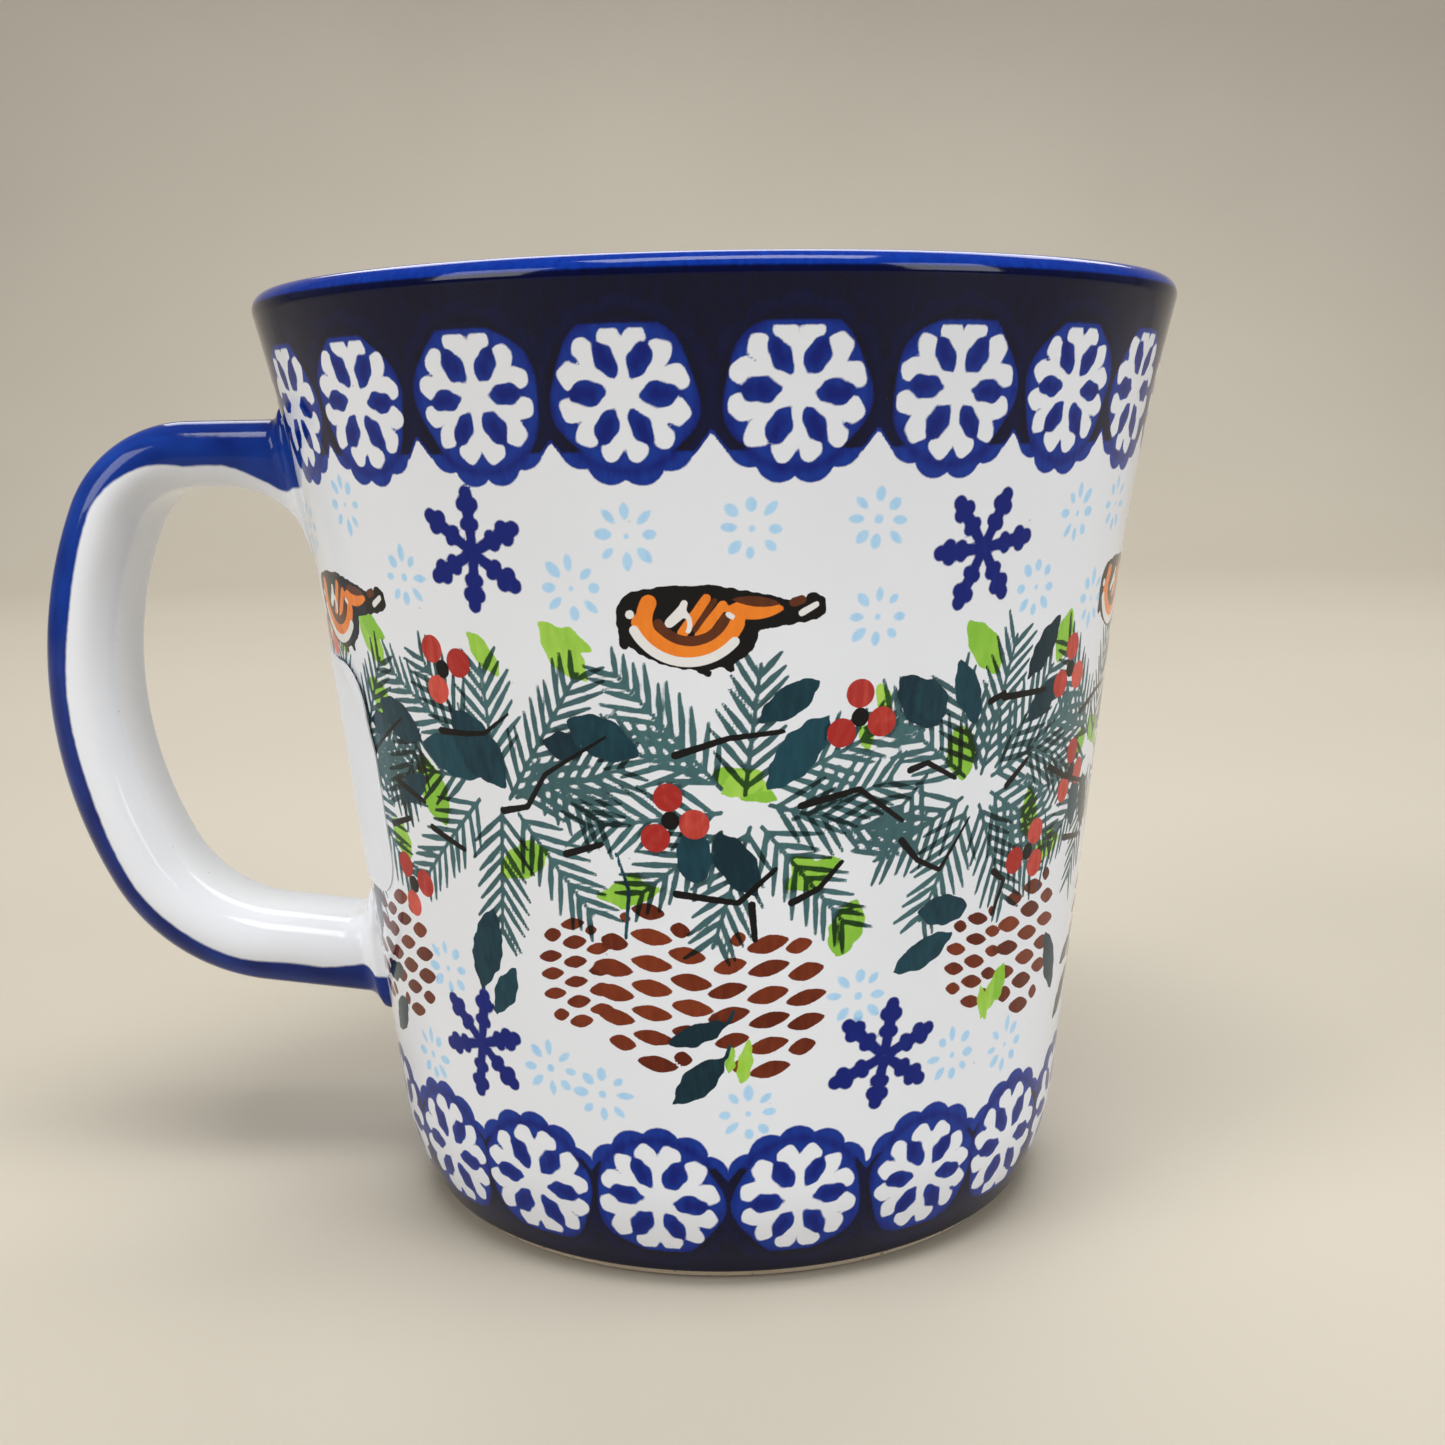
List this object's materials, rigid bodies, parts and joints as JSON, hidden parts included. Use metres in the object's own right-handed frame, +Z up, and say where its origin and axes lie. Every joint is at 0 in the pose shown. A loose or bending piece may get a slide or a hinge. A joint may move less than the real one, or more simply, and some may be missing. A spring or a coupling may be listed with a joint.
{
  "type": "stoneware mug",
  "caption": "Tapered stoneware mug with a flared lip, a strap handle and a painted winter garland, for hot drinks.",
  "frame": {"origin": "on the cup's axis, in the plane that the foot ring stands on", "axes": "+Z up along the cup's axis, -X towards the handle, -Y towards the painted front"},
  "size_m": [0.1207, 0.0958, 0.096],
  "materials": {
    "bare_stoneware": "unglazed, fired matt",
    "handle_clay": "fired clay under glaze",
    "slip": "fired slip under glaze",
    "outer_glaze": "clear gloss over painting",
    "inner_glaze": "clear gloss",
    "base_glaze": "clear gloss",
    "handle_glaze": "clear gloss over a painted stripe",
    "label_paper": "matt paper"
  },
  "bodies": {
    "root": {"stoneware_body": "bare_stoneware", "handle": "handle_clay", "upper_slip_joint": "slip", "lower_slip_joint": "slip", "outer_glaze": "outer_glaze", "inner_glaze": "inner_glaze", "base_glaze": "base_glaze", "handle_glaze": "handle_glaze", "price_label": "label_paper"}
  },
  "joints": []
}
